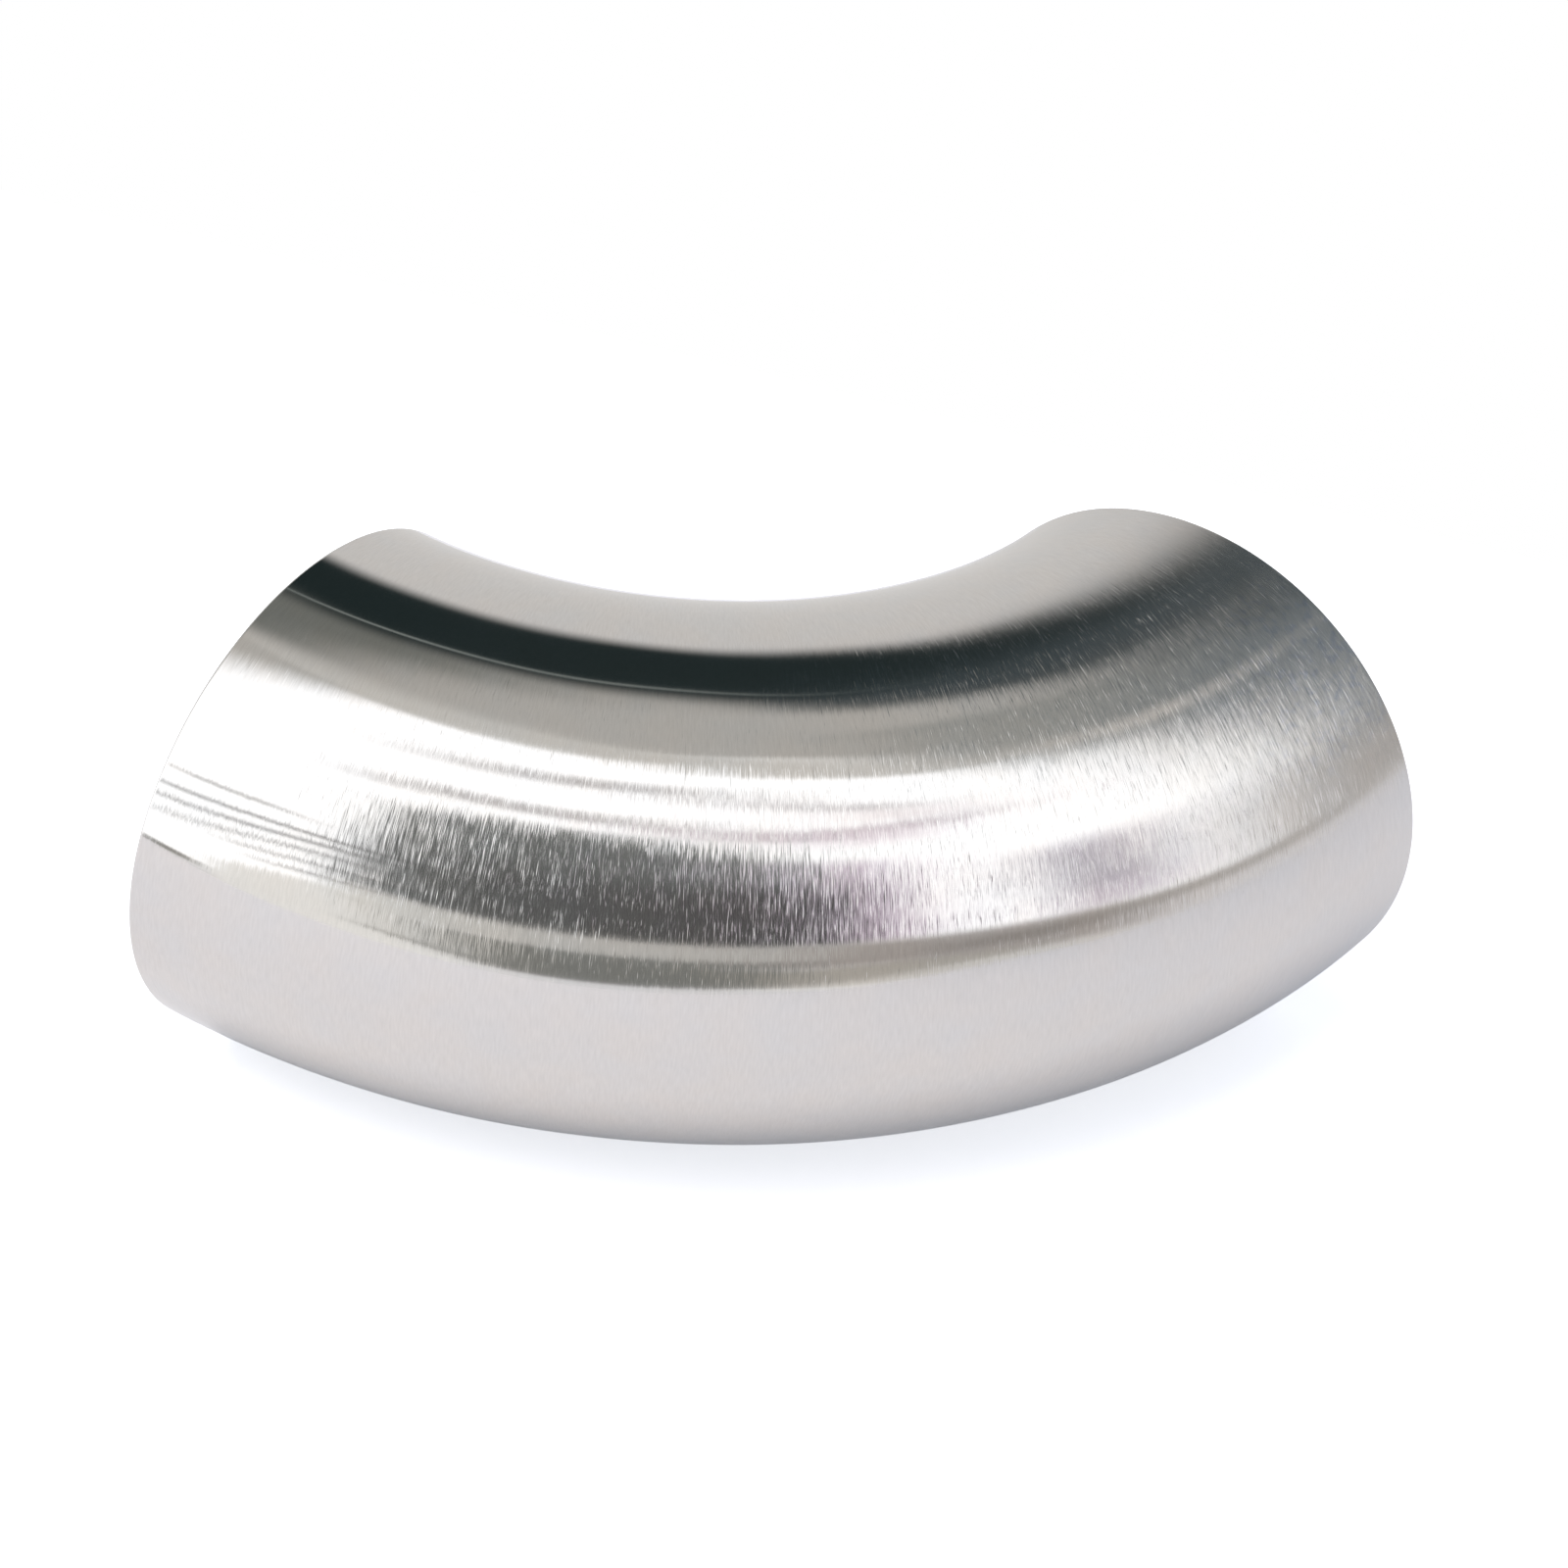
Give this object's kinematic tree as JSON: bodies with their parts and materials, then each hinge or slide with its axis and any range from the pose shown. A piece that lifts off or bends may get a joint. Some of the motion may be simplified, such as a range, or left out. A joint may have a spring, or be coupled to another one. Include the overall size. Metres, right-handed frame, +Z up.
{
  "type": "sanitary weld elbow",
  "caption": "Short right-angle bend of thin stainless tube, brushed outside, with plain square-cut ends for butt welding into a hygienic pipe run.",
  "frame": {"origin": "centre of weld end A, in the plane of its face", "axes": "the elbow lies on its side with the bend in the XY plane and +Z up; weld end A faces -X; weld end B faces +Y, its centre at x = y = 60.5 mm"},
  "size_m": [0.0858, 0.0858, 0.0508],
  "materials": {
    "stainless": "fine satin, brushed round the tube; smooth pickled bore; bare machined end faces"
  },
  "bodies": {
    "root": {"elbow": "stainless"}
  },
  "joints": []
}
